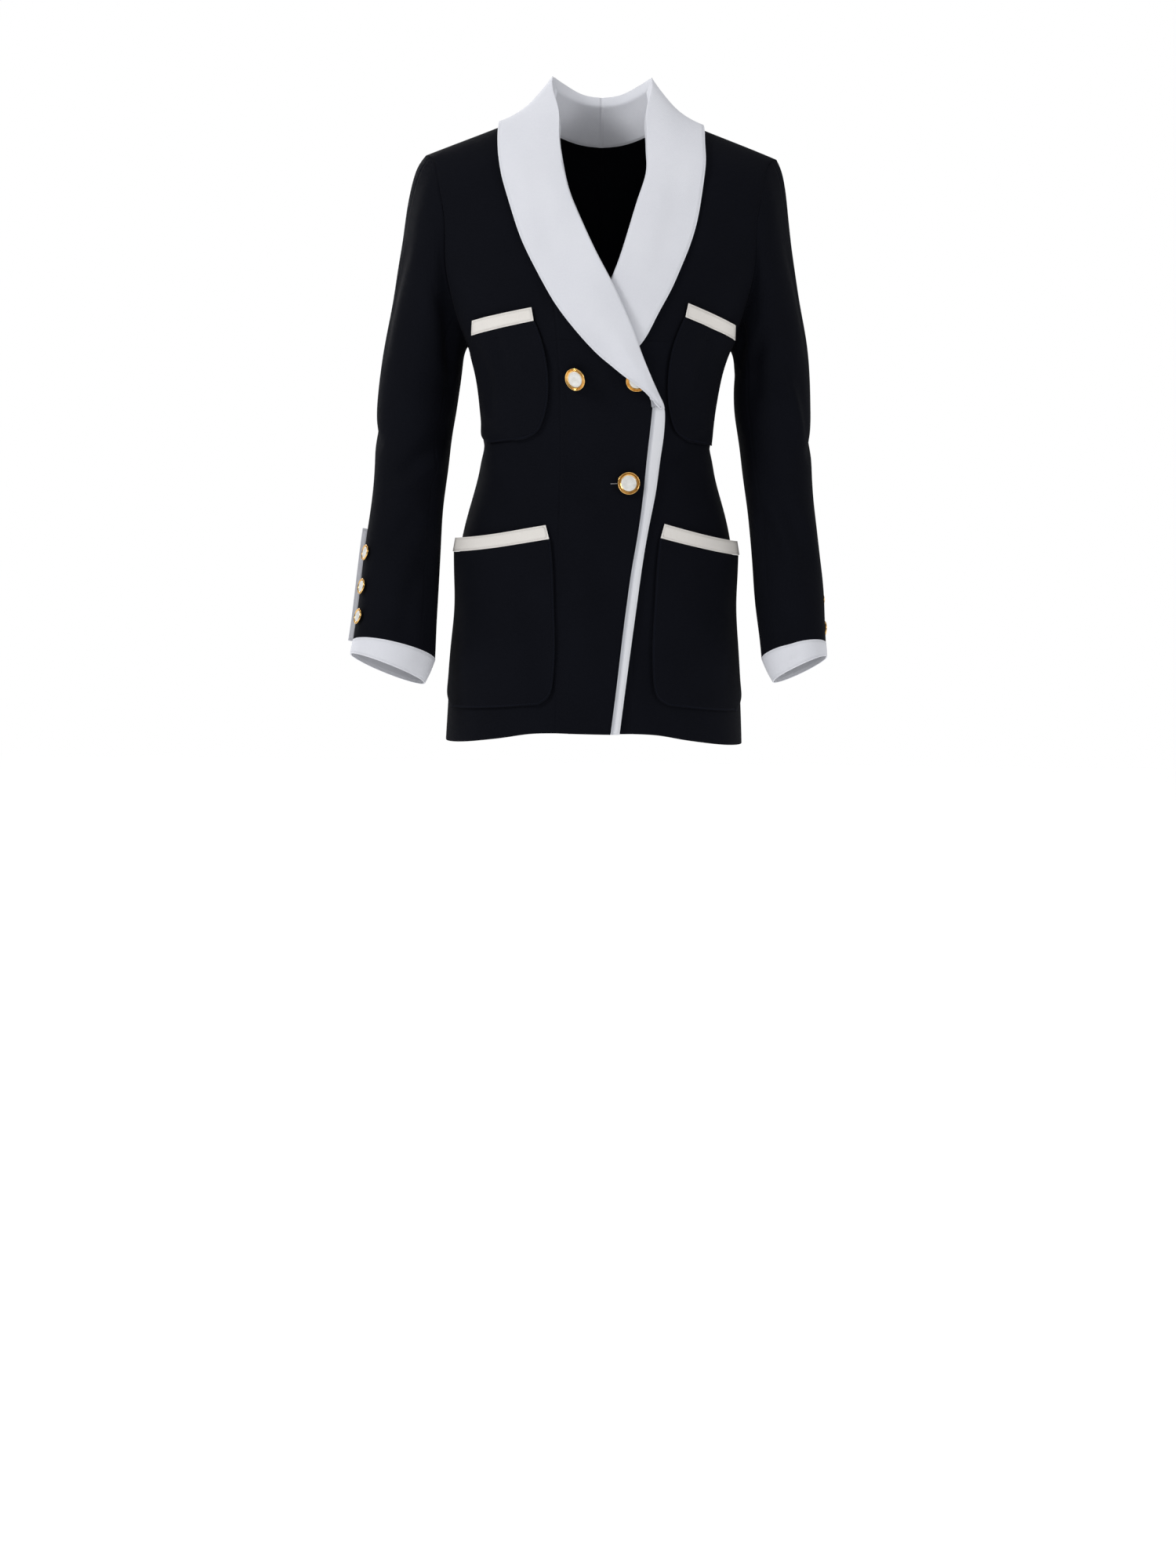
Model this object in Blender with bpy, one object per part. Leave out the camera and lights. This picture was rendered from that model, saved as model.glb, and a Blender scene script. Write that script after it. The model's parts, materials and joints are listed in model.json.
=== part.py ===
"""A double-breasted cotton jacket with a wide shawl collar, worn hollow. Metres, +Z up, front towards -Y.

Tables and distances are in millimetres and are turned to metres where a mesh is made. An "out" distance
is measured from the middle line towards the wearer's own side. Side is -1 for the wearer's right, and
+1 for the left.
"""

import math

import bmesh
import bpy

MM = 0.001
WALL = 1.6
COLLAR_WALL = 1.6
SEAM = 0.15
NECK_HALF = 62
SHOULDER_SLOPE = 0.385
SHOULDER_ROUND = 60
BEND = 2.3
ARMPIT_Z = -264
TIP_Z = -52
ARMHOLE_HALF_DEPTH = 60
ARMHOLE_STEPS = 12
RIGHT, LEFT = -1, 1
FRONT, BACK = -1, 1

# Height, half width, depth in front of the middle, depth behind it.
BODY = (
    (-720, 173, 128, 126), (-640, 169, 127, 126), (-560, 163, 124, 122), (-500, 158, 119, 116),
    (-460, 150, 113, 107), (-425, 140, 108, 97), (-395, 133, 105, 90), (-370, 131, 105, 87),
    (-345, 132, 108, 87), (-310, 137, 117, 92), (-270, 146, 128, 100), (-230, 166, 127, 106),
    (-180, 190, 114, 107), (-120, 206, 91, 100), (-60, 214, 68, 86), (0, 217, 50, 72), (40, 217, 44, 62),
)
# Height above the break, then the lapel edge of the right and of the left front, measured out.
LAPEL_EDGE = (
    (-330, -57, -68.5), (-307, -52.5, -52), (-285, -40.5, -35.5), (-251, -29, -14), (-198, -5, 16),
    (-174, 8.2, 25), (-141, 21, 35), (-113, 33, 43), (-94, 40, 49), (-71, 45, 55), (-48, 49, 54),
    (-18, 56, 57), (0, 63.6, 63.6),
)
# Height, then where the edge band's inner and outer edges lie, left of the middle line.
BAND_EDGE = (
    (-700, 17, 27), (-639, 24, 34), (-572, 31, 42), (-507, 39, 50), (-465, 46, 56.5), (-430, 50, 63),
    (-404, 52.5, 66.5), (-378, 54, 68.5), (-353, 55.5, 70), (-330, 57, 69.5),
)
# Height, then how far out the princess seam lies.
PRINCESS = ((-700, 42), (-500, 41), (-380, 39), (-300, 40), (-240, 46), (-150, 64), (-60, 84), (-11.5, 92))
# Distance out, then the hem's height in front.
FRONT_HEM = ((-80, -690), (0, -690), (60, -690), (100, -697), (140, -705), (175, -712))
BACK_HEM_Z = -713
BACK_NECK_DROP, BACK_NECK_HALF = 20.6, 67
# Height, then the fold of the right and of the left lapel, measured out.
FOLD = (
    (-329, -70, -70), (-307, -58.5, -58), (-285, -49, -44), (-251, -36.5, -22), (-198, -11, 11),
    (-174, 2, 21), (-141, 17, 31), (-113, 29, 39), (-94, 36, 45), (-71, 41, 51), (-48, 45, 50), (-18, 50, 52),
)
# Height, then how far the upper front is lifted over it.
OVER_LIFT = ((-720, 3.0), (-400, 3.0), (-345, 8.0), (0, 8.0))
EASE = 62
# Shares of the half width at which a back panel has its lines; the fifth meets the neck point.
BACK_SHARES = (0, 0.12, 0.216, 0.276, 0.3147, 0.45, 0.58, 0.70, 0.80, 0.885, 0.947, 0.987, 1)
# The same across a front, and the number and closeness of a side front's lines.
FRONT_SHARES = (0, 0.25, 0.5, 0.75, 1)
SIDE_STEPS, SIDE_BEGIN = 8, 0.24
# Share of the way from hem to armpit for each row of a body panel.
LOW_ROWS = (0, 0.07, 0.14, 0.21, 0.28, 0.35, 0.42, 0.49, 0.56, 0.63, 0.70, 0.775, 0.848, 0.925)

# Collar stations: face, neck out and height, fold's rise (out, back, up), then the edge's out and height.
COLLAR_BACK = (
    (BACK, 0, -18, 0, -4, 38, 0, -64), (BACK, 22, -15.7, -1, -4, 38, 38, -63),
    (BACK, 42, -9.7, -2, -4, 39, 74, -57), (BACK, 56, -3.3, -5, -3, 38, 99, -43),
    (BACK, 59.5, -1.4, -7, -1, 36, 107, -27), (BACK, 61.4, -0.35, -8, 1, 34.5, 111, -20.6),
    (BACK, 62, 0, -9, 2, 33, 112, -19.25), (FRONT, 61.5, -1.2, -8, 3, 29, 112.6, -22),
    (FRONT, 59, -6, -6, 4, 20, 113, -31),
)
# Lapel stations: the fold's height, its rise, the right edge's out and height, then the left edge's.
LAPEL = (
    (-18, 9, 113, -42, 113, -46), (-34, 3, 112, -60, 114, -65), (-52, 0, 109, -80, 112, -88),
    (-75, 0, 104, -98, 109, -110), (-100, 0, 97, -120, 104, -135), (-125, 0, 88, -146, 96, -160),
    (-150, 0, 77, -170, 87, -182), (-175, 0, 63, -196, 76, -207), (-200, 0, 46, -224, 62, -233),
    (-225, 0, 25, -250, 46, -262), (-250, 0, 3, -272, 24, -280), (-268, 0, -13, -284, 4, -289),
    (-284, 0, -26, -293, -14, -298), (-299, 0, -38, -302, -30, -305), (-314, 0, -48, -311, -46, -313),
    (-324, 0, -56, -320, -56, -317), (-329.6, 0, -57.5, -328.4, -60, -321),
)
# Around the fold: distance from it towards the edge, height off the cloth, share of the fold's rise.
FOLD_SHAPE = (
    (6.5, -3.2, 0), (3.2, -3.3, 0.45), (0.8, -2.5, 0.86), (0, -0.8, 1), (0.9, 0.9, 0.97), (3.6, 1.7, 0.84),
)
# Below this height off the cloth, a point of the fold lies under the front and doesn't rise over a button.
UNDER_FOLD = -1
FALL_SHARES = (0.27, 0.52, 0.76, 1)
FALL_LIFT = 2.0
RISE_POWER = 3
UPPER_LAPEL_LIFT = 0.7
SHOULDER_CLEARANCE = 2.2
LIP_CLEARANCE = 4
POCKET_GAP = 1.45
# How far the upper lapel rises over the button under it, and how near the button the rise is full and starts.
BUMP_LIFT, BUMP_INNER, BUMP_OUTER = 6.2, 17, 31

# Sleeve rings: outer out and height, inner out and height, half depth, middle's y, the armhole's share, tilt.
SLEEVE = (
    (207, -66, 149.0, -262.4, 61, 1, 0.9, 0), (214, -88, 151.2, -266, 62, 1, 0.75, 0),
    (219, -114, 153.0, -271, 62, 1, 0.58, 0), (223, -143, 154.2, -277, 62, 1, 0.42, 0),
    (228, -175, 155.0, -284, 61, 1, 0.26, 0), (234, -210, 155.8, -292, 59, 1, 0.12, 0),
    (241, -246, 157, -303, 57, 0, 0.03, 0.02), (247, -283, 159, -317, 54, 0, 0, 0.05),
    (251, -320, 162, -338, 52, -2, 0, 0.1), (253, -357, 167, -368, 50, -5, 0, 0.16),
    (254, -392, 171, -402, 49, -11, 0, 0.2), (256, -428, 175, -438, 48, -19, 0, 0.24),
    (260, -463, 176.5, -474, 47, -28, 0, 0.27), (264, -498, 177.5, -510, 46, -38, 0, 0.29),
    (267, -532, 178.5, -546, 45, -49, 0, 0.3), (270, -565, 180, -582, 44, -60, 0, 0.3),
    (273.5, -594.5, 181, -613, 43.5, -71, 0, 0.33),
)
# Height, then how much farther in the left sleeve's outer and inner lines lie.
LEFT_SLEEVE = (
    (-600, 13.5, -8), (-540, 8.5, -2.5), (-500, 8.5, -1), (-420, 9, 4), (-340, 9, 5), (-310, 8, 3),
    (-292, 7, 0), (-240, 5, 0), (-180, 6, 0), (-120, 6.5, 0), (-90, 5, 0), (-60, 2.5, 0),
)
# How much higher the left sleeve's hem lies at its outer and inner line.
LEFT_HEM_RISE = (3.5, 6)
# Cuff rings past the hem: how far down, how far out at the outer line, and in at the inner line.
CUFF = ((0.35, 0, 0), (10, 0.5, 4.5), (19, 0.5, 10))
# The cuff's depth at its outer and inner line as a share of that, and how much more it has in front.
CUFF_OUTER, CUFF_INNER, CUFF_FRONT = 0.85, 1.5, 0.15
RING = 24
OUTER_SEAM, INNER_SEAM = 1, 9
# Vent strip: rows down the sleeve, then places round it with how far each stands off.
VENT_ROWS = (13.1, 13.8, 14.6, 15.3, 16.0, 16.9)
VENT_PLACES = ((-2.1, 1.8), (-1.55, 1.9), (-1.15, 3.0), (-0.98, 5.8), (-0.86, 9.0))
VENT_WALL = 1.6
CUFF_STAND = 0.2

# Pocket outlines: inner out and height, outer out and height. The first two rows are the band's.
CHEST_POCKET = (
    (73, -226, 136, -237), (70, -240, 137, -252), (69, -240.6, 138, -252.8), (61, -258, 141, -268),
    (55, -277, 142, -288), (52, -300, 140, -310), (53, -325, 137, -333), (57, -343, 133, -351),
    (64, -358, 127, -365), (78, -366, 117, -371),
)
HIP_POCKET = (
    (55, -461, 162, -480), (51, -476, 164, -495), (50, -476.3, 164, -495.3), (47, -508, 166, -522),
    (45, -550, 167, -556), (44, -593, 168, -598), (46, -630, 169, -638), (51, -649, 168, -658),
    (63, -658, 160, -670),
)
# How much farther out the left pockets' inner and outer ends lie, and how much higher their inner end is.
CHEST_SHIFT, HIP_SHIFT = (22.5, 11, 7), (19.5, 0, 3)
HIGHER_DEPTH = 90
CHEST_GAPE, HIP_GAPE = 1.5, 7
GAPE_DEPTH = 75
POCKET_STEPS = 6
POCKET_WALL, POCKET_BAND_WALL = 1.8, 2.3
BAND_TOP_Z = -331.2
BAND_STAND = 0.9
SIDE_LIMIT = 0.975

# Front buttons: x and height.
FRONT_BUTTONS = ((-23, -298), (40, -299), (34, -414))
FRONT_BUTTON_RADIUS, SLEEVE_BUTTON_RADIUS = 13.2, 9.2
BUTTON_SEAT = 0.2
SLEEVE_BUTTON_ROWS = (14.1, 15.2, 16.22)
SLEEVE_BUTTON_PLACE = 2.1
# How far back round the left sleeve its buttons and strip lie, at a higher and at a lower row.
LEFT_TURN = ((13, -4.5), (16.3, -3.3))

for old in list(bpy.data.objects):
    bpy.data.objects.remove(old, do_unlink=True)


def material(name, color, roughness, metallic):
    made = bpy.data.materials.new(name)
    made.use_nodes = True
    shader = made.node_tree.nodes["Principled BSDF"]
    shader.inputs["Base Color"].default_value = (*color, 1)
    shader.inputs["Roughness"].default_value = roughness
    shader.inputs["Metallic"].default_value = metallic
    made.diffuse_color = (*color, 1)
    return made


NAVY = material("navy_cotton", (0.008, 0.009, 0.016), 0.85, 0)
WHITE = material("white_cotton", (0.78, 0.80, 0.84), 0.85, 0)
GOLD = material("gold_metal", (0.75, 0.52, 0.22), 0.3, 1)
ENAMEL = material("white_enamel", (0.85, 0.84, 0.80), 0.25, 0)


def read(rows, at, column=1):
    """A smooth value from a table whose first column is the place."""
    rows = sorted(rows)
    at = min(max(at, rows[0][0]), rows[-1][0])
    i = 0
    while i < len(rows) - 2 and at > rows[i + 1][0]:
        i += 1

    def slope(k):
        low, high = rows[max(k - 1, 0)], rows[min(k + 1, len(rows) - 1)]
        return (high[column] - low[column]) / (high[0] - low[0])

    span = rows[i + 1][0] - rows[i][0]
    t = (at - rows[i][0]) / span
    start, end = rows[i][column], rows[i + 1][column]
    value = start * (1 + 2 * t) * (1 - t) ** 2 + end * t * t * (3 - 2 * t)
    return value + span * (slope(i) * t * (1 - t) ** 2 - slope(i + 1) * t * t * (1 - t))


def ease(t):
    t = min(max(t, 0), 1)
    return t * t * (3 - 2 * t)


def mix(a, b, t):
    return a + (b - a) * t


def add(a, b, scale=1.0):
    return tuple(p + q * scale for p, q in zip(a, b))


def unit(a):
    length = math.sqrt(sum(p * p for p in a)) or 1
    return tuple(p / length for p in a)


def cross(a, b):
    return (a[1] * b[2] - a[2] * b[1], a[2] * b[0] - a[0] * b[2], a[0] * b[1] - a[1] * b[0])


def shoulder(x):
    return -SHOULDER_SLOPE * max(abs(x) - NECK_HALF, 0)


def section(x, z, face):
    """Half width, the depth at the middle and the shoulder's rounding, which closes the top."""
    t = min(max(shoulder(x) - z, 1e-5) / SHOULDER_ROUND, 1)
    return read(BODY, z, 1), read(BODY, z, 2 if face == FRONT else 3), math.sqrt(1 - (1 - t) ** 2)


def body_depth(x, z, face):
    half, deep, close = section(x, z, face)
    return deep * close * (1 - min(abs(x) / half, 1) ** BEND) ** (1 / BEND)


def body_normal(x, z, face):
    """Outward from the body: the slope of its section, of its taper and of the shoulder's rounding."""
    half, deep, close = section(x, z, face)
    along = min(abs(x) / half, 1) ** BEND
    across = 1 - along
    y = deep * close * across ** (1 / BEND)
    dx = abs(x) ** (BEND - 1) / half**BEND * math.copysign(1, x)
    dy = face * y ** (BEND - 1) / (deep * close) ** BEND
    column = 2 if face == FRONT else 3
    half_slope = (read(BODY, z + 1, 1) - read(BODY, z - 1, 1)) / 2
    deep_slope = (read(BODY, z + 1, column) - read(BODY, z - 1, column)) / 2
    dz = -along * half_slope / half - across * deep_slope / deep
    t = max(shoulder(x) - z, 1e-5) / SHOULDER_ROUND
    if t < 1:
        rounding = across * (1 - t) / (close * close * SHOULDER_ROUND)
        dz += rounding
        if abs(x) > NECK_HALF:
            dx += rounding * SHOULDER_SLOPE * math.copysign(1, x)
    return unit((dx, dy, dz))


def on_body(x, z, face, lift):
    point = (x, face * body_depth(x, z, face), z)
    return add(point, body_normal(x, z, face), lift)


def over_lift(x, z):
    """How far the right front is lifted where it covers the left front."""
    under_edge = read(FOLD, z, 2) if z > -329 else -read(BAND_EDGE, z, 2)
    return read(OVER_LIFT, z) * ease((x - under_edge + EASE + 8) / EASE)


def lift_at(side, x, z, face):
    return over_lift(x, z) if side == RIGHT and face == FRONT else 0.0


def new_object(name, mesh_data, surface):
    mesh = bpy.data.meshes.new(name)
    mesh_data.to_mesh(mesh)
    mesh_data.free()
    mesh.materials.append(surface)
    made = bpy.data.objects.new(name, mesh)
    bpy.context.scene.collection.objects.link(made)
    for polygon in mesh.polygons:
        polygon.use_smooth = True
    return made


def shell(name, outer, inner, surface, around=False):
    """A closed sheet between two grids of points of equal size; around joins the last column to the first."""
    made = bmesh.new()
    skins = [[[made.verts.new([c * MM for c in p]) for p in row] for row in grid] for grid in (outer, inner)]
    rows, columns = len(outer), len(outer[0])
    steps = columns if around else columns - 1
    for skin in skins:
        for i in range(rows - 1):
            for j in range(steps):
                k = (j + 1) % columns
                made.faces.new((skin[i][j], skin[i][k], skin[i + 1][k], skin[i + 1][j]))
    top, low = skins
    for i in (0, rows - 1):
        for j in range(steps):
            k = (j + 1) % columns
            made.faces.new((top[i][j], top[i][k], low[i][k], low[i][j]))
    if not around:
        for j in (0, columns - 1):
            for i in range(rows - 1):
                made.faces.new((top[i][j], top[i + 1][j], low[i + 1][j], low[i][j]))
    bmesh.ops.recalc_face_normals(made, faces=made.faces)
    if made.calc_volume(signed=True) < 0:
        bmesh.ops.reverse_faces(made, faces=made.faces)
    return new_object(name, made, surface)


def grid_normals(grid, around=False):
    """A normal at each point of a grid, from its neighbours."""
    rows, columns = len(grid), len(grid[0])
    found = []
    for i in range(rows):
        line = []
        for j in range(columns):
            before = grid[i][(j - 1) % columns if around else max(j - 1, 0)]
            after = grid[i][(j + 1) % columns if around else min(j + 1, columns - 1)]
            below, above = grid[max(i - 1, 0)][j], grid[min(i + 1, rows - 1)][j]
            line.append(unit(cross(add(after, before, -1), add(above, below, -1))))
        found.append(line)
    return found


def moved(grid, normals, distance):
    return [[add(p, n, distance) for p, n in zip(row, line)] for row, line in zip(grid, normals)]


def armhole_point(step, face):
    """Out distance and height of the armhole, step 0 at the armpit and the last step at the shoulder."""
    turn = math.pi * step / ARMHOLE_STEPS
    z = mix(ARMPIT_Z, TIP_Z, (1 - math.cos(turn)) / 2)
    y = ARMHOLE_HALF_DEPTH * math.sin(turn)
    if step == ARMHOLE_STEPS:
        return NECK_HALF - TIP_Z / SHOULDER_SLOPE, TIP_Z
    low, high = 100.0, min(read(BODY, z, 1), NECK_HALF - z / SHOULDER_SLOPE)
    for _ in range(40):
        middle = (low + high) / 2
        low, high = (middle, high) if body_depth(middle, z, face) > y else (low, middle)
    return (low + high) / 2, z


def spread(steps, start):
    """Shares from 0 to 1 along a half section, close together at the side, where it turns."""
    turns = [mix(start, math.pi / 2, i / steps) for i in range(steps + 1)]
    values = [math.sin(turn) ** (2 / BEND) for turn in turns]
    return [(value - values[0]) / (1 - values[0]) for value in values]


def panel(name, side, face, rows, surface, seams):
    """A body panel from rows of (out, height) points; seams gives its shift at first and last column."""
    outer, inner = [], []
    for row in rows:
        outer.append([])
        inner.append([])
        for j, (out, z) in enumerate(row):
            out += seams[0] if j == 0 else seams[1] if j == len(row) - 1 else 0
            x = side * out
            lift = lift_at(side, x, z, face)
            shift = (0, face * SEAM, 0)
            outer[-1].append(add(on_body(x, z, face, lift), shift))
            inner[-1].append(add(on_body(x, z, face, lift - WALL), shift))
    return shell(name, outer, inner, surface)


def side_rows(face, start):
    """Rows from the seam given by start to the side seam and then to the armhole."""
    shares = BACK_SHARES if face == BACK else spread(SIDE_STEPS, SIDE_BEGIN)

    def hem(out):
        return read(FRONT_HEM, out) if face == FRONT else BACK_HEM_Z

    rows = []
    for share in LOW_ROWS:
        z_in = mix(hem(start(-690)), ARMPIT_Z, share)
        z_out = mix(hem(175), ARMPIT_Z, share)
        row = []
        for part in shares:
            out = mix(start(z_in), read(BODY, mix(z_in, z_out, part), 1), part)
            row.append((out, mix(hem(out), ARMPIT_Z, share) if part else z_in))
        rows.append(row)
    for step in range(ARMHOLE_STEPS + 1):
        out_end, z_end = armhole_point(step, face)
        up = (z_end - ARMPIT_Z) / (TIP_Z - ARMPIT_Z)
        rows.append([])
        for part in shares:
            if face == FRONT:
                z_in = mix(ARMPIT_Z, shoulder(start(-11.5)), up)
                rows[-1].append((mix(start(z_in), out_end, part), mix(z_in, z_end, part)))
            else:
                out = out_end * part
                top = shoulder(out) - BACK_NECK_DROP * (1 - min(out / BACK_NECK_HALF, 1) ** 2)
                rows[-1].append((out, z_end if part == 1 else mix(ARMPIT_Z, top, up)))
    return rows


def front_edge(side, z):
    """Out distance of a front's free edge: the lapel's, then the edge band's inner or outer line."""
    if z > -330:
        return read(LAPEL_EDGE, z, 1 if side == RIGHT else 2)
    return -read(BAND_EDGE, z, 1 if side == RIGHT else 2)


def front_rows(side):
    """Rows of a centre front, from its free edge or lapel fold out to the princess seam."""
    levels = [(mix(-690, ARMPIT_Z, share), mix(read(FRONT_HEM, 42), ARMPIT_Z, share)) for share in LOW_ROWS]
    for step in range(ARMHOLE_STEPS + 1):
        up = (armhole_point(step, FRONT)[1] - ARMPIT_Z) / (TIP_Z - ARMPIT_Z)
        levels.append((mix(ARMPIT_Z, 0, up), mix(ARMPIT_Z, shoulder(92), up)))
    rows = []
    for z_edge, z_seam in levels:
        ends = front_edge(side, z_edge), read(PRINCESS, z_seam)
        rows.append([(mix(*ends, part), mix(z_edge, z_seam, part)) for part in FRONT_SHARES])
    return rows


def princess(z):
    return read(PRINCESS, z)


def centre_back(z):
    return 0


for side, word in ((RIGHT, "right"), (LEFT, "left")):
    panel("front_" + word, side, FRONT, front_rows(side), NAVY, (SEAM if side == RIGHT else 0, -SEAM))
    panel("side_front_" + word, side, FRONT, side_rows(FRONT, princess), NAVY, (SEAM, 0))
    panel("back_" + word, side, BACK, side_rows(BACK, centre_back), NAVY, (SEAM, 0))


def band_rows():
    rows = []
    for z in [mix(-690, ARMPIT_Z, share) for share in LOW_ROWS[:12]] + [BAND_TOP_Z]:
        inner, outer = read(BAND_EDGE, z, 1), read(BAND_EDGE, z, 2)
        rows.append([(inner + SEAM, z), ((inner + outer) / 2, z), (outer, z)])
    return rows


def laid(name, rows, side, low, high, surface, lift):
    """A sheet on the front, from rows of (out, height), between two distances off what lift gives there."""
    outer, inner = [], []
    for i, row in enumerate(rows):
        outer.append([])
        inner.append([])
        for j, (out, z) in enumerate(row):
            x = side * out
            point = on_body(x, z, FRONT, lift(i, j, x, z))
            normal = body_normal(x, z, FRONT)
            point = add(point, (0, FRONT * SEAM, 0))
            outer[-1].append(add(point, normal, high))
            inner[-1].append(add(point, normal, low))
    return shell(name, outer, inner, surface)


def band_lift(i, j, x, z):
    return over_lift(x, z)


laid("edge_band", band_rows(), LEFT, -WALL, BAND_STAND, WHITE, band_lift)


def pocket(name, outline, side, shift, gape):
    """A patch pocket and the band along its top, laid on the panel and standing off it at the mouth."""
    grid = []
    for inner_out, inner_z, outer_out, outer_z in outline:
        inner_out += shift[0]
        outer_out = min(outer_out + shift[1], SIDE_LIMIT * read(BODY, outer_z, 1))
        inner_z += shift[2] * ease(1 - (outline[0][1] - inner_z) / HIGHER_DEPTH)
        shares = spread(POCKET_STEPS, math.asin(min((inner_out / outer_out) * 0.93, 0.9)))
        grid.append([(mix(inner_out, outer_out, t), mix(inner_z, outer_z, t)) for t in shares])
    drops = [grid[0][-1][1] - row[-1][1] for row in grid]
    falls = [1, 1] + [ease(1 - drop / GAPE_DEPTH) for drop in drops[2:]]

    def standing(first):
        def lift(i, j, x, z):
            return lift_at(side, x, z, FRONT) + gape * falls[i + first] * ease((j - 1) / (POCKET_STEPS - 1))

        return lift

    laid(name + "_band", grid[:2], side, POCKET_GAP, POCKET_GAP + POCKET_BAND_WALL, WHITE, standing(0))
    laid(name, grid[2:], side, POCKET_GAP, POCKET_GAP + POCKET_WALL, NAVY, standing(2))


for side, word in ((RIGHT, "right"), (LEFT, "left")):
    pocket("chest_pocket_" + word, CHEST_POCKET, side, CHEST_SHIFT if side == LEFT else (0, 0, 0), CHEST_GAPE)
    pocket("hip_pocket_" + word, HIP_POCKET, side, HIP_SHIFT if side == LEFT else (0, 0, 0), HIP_GAPE)


def bump(side, x, z):
    """How far the upper lapel rises to pass over the button under it."""
    if side == LEFT:
        return 0
    away = math.hypot(x - FRONT_BUTTONS[1][0], z - FRONT_BUTTONS[1][1])
    return BUMP_LIFT * ease((BUMP_OUTER - away) / (BUMP_OUTER - BUMP_INNER))


def collar_line(side, face, neck, rise, edge):
    """One section of the collar's middle surface, from inside the neck over the fold to the outer edge."""
    run, drop = edge[0] - neck[0], edge[1] - neck[1]
    length = math.hypot(run, drop)
    clear = SHOULDER_CLEARANCE * (1 if face == BACK else ease((neck[1] + 70) / 60))
    points = []
    for away, off, share in FOLD_SHAPE:
        off += clear if off > 0 else -LIP_CLEARANCE * clear
        x, z = side * (neck[0] + away * run / length), neck[1] + away * drop / length
        over = bump(side, x, z) if off > UNDER_FOLD else 0
        point = on_body(x, z, face, off + over + lift_at(side, x, z, face))
        points.append(add(point, (side * rise[0], rise[1], rise[2]), share))
    for share in FALL_SHARES:
        part = mix(3.6 / length, 1, share)
        x, z = side * mix(neck[0], edge[0], part), mix(neck[1], edge[1], part)
        if abs(x) > NECK_HALF:
            z = min(z, shoulder(x))
        off = FALL_LIFT + clear + (UPPER_LAPEL_LIFT if side == RIGHT else 0)
        point = on_body(x, z, face, off + lift_at(side, x, z, face) + bump(side, x, z))
        points.append(add(point, (side * rise[0], rise[1], rise[2]), 0.84 * (1 - share) ** RISE_POWER))
    return points


def collar(side):
    lines = []
    for face, out, z, rise_out, rise_back, rise_up, edge_out, edge_z in COLLAR_BACK:
        lines.append(collar_line(side, face, (out, z), (rise_out, rise_back, rise_up), (edge_out, edge_z)))
    for row in LAPEL:
        z, rise = row[0], row[1]
        out = read(FOLD, z, 1 if side == RIGHT else 2)
        edge = row[2:4] if side == RIGHT else row[4:6]
        lines.append(collar_line(side, FRONT, (out, z), (-rise / 3, rise / 3, rise), edge))
    lines[0] = [(p[0] + side * SEAM, p[1], p[2]) for p in lines[0]]
    return lines


for side, word in ((RIGHT, "right"), (LEFT, "left")):
    middle = collar(side)
    normals = grid_normals(middle)
    normals[0] = [unit((0, n[1], n[2])) for n in normals[0]]
    half = COLLAR_WALL / 2
    shell("collar_" + word, moved(middle, normals, half), moved(middle, normals, -half), WHITE)


def sleeve_rings(side):
    """Rings of the sleeve's outer surface, from just past the armhole down to the hem."""
    armhole = []
    for q in range(RING):
        face = FRONT if q <= RING // 2 else BACK
        step = abs(RING // 2 - q)
        out, z = armhole_point(step, face)
        point = on_body(side * out, z, face, 0)
        armhole.append((out, point[1] + face * SEAM * (0 < step < ARMHOLE_STEPS), z))
    centre = (0, 0, (ARMPIT_Z + TIP_Z) / 2)

    def ellipse(outer, inner, deep, y, tilt, q):
        turn = 2 * math.pi * q / RING
        across = math.cos(turn)
        back = y - deep * math.sin(turn)
        return (mix(inner[0], outer[0], (1 + across) / 2), back,
                mix(inner[1], outer[1], (1 + across) / 2) - tilt * (back - y))

    tip, pit = armhole[0], armhole[RING // 2]
    own = [add(p, ellipse((tip[0], tip[2]), (pit[0], pit[2]), ARMHOLE_HALF_DEPTH, 0, 0, q), -1)
           for q, p in enumerate(armhole)]
    first = []
    for out, y, z in armhole:
        inward = unit((0, -y, centre[2] - z))
        first.append(add((out + 0.35, y, z), inward, 0.35))
    rings = [first]
    for outer_x, outer_z, inner_x, inner_z, deep, y, share, tilt in SLEEVE:
        if side == LEFT and outer_z == SLEEVE[-1][1]:
            outer_z += LEFT_HEM_RISE[0]
            inner_z += LEFT_HEM_RISE[1]
        if side == LEFT:
            outer_x -= read(LEFT_SLEEVE, outer_z, 1)
            inner_x -= read(LEFT_SLEEVE, inner_z, 2)
        ring = [ellipse((outer_x, outer_z), (inner_x, inner_z), deep, y, tilt, q) for q in range(RING)]
        rings.append([add(p, o, share) for p, o in zip(ring, own)])
    return [[(side * p[0], p[1], p[2]) for p in ring] for ring in rings]


def sleeve_piece(name, rings, normals, first, last, surface):
    """Part of the sleeve between two of its lengthwise lines, a seam's width inside each."""
    outer, inner = [], []
    for ring, line in zip(rings, normals):
        columns = [ring[q % RING] for q in range(first, last + 1)]
        facing = [line[q % RING] for q in range(first, last + 1)]
        columns[0] = add(columns[0], unit(add(columns[1], columns[0], -1)), SEAM)
        columns[-1] = add(columns[-1], unit(add(columns[-2], columns[-1], -1)), SEAM)
        outer.append(columns)
        inner.append([add(p, n, -WALL) for p, n in zip(columns, facing)])
    return shell(name, outer, inner, surface)


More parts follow.
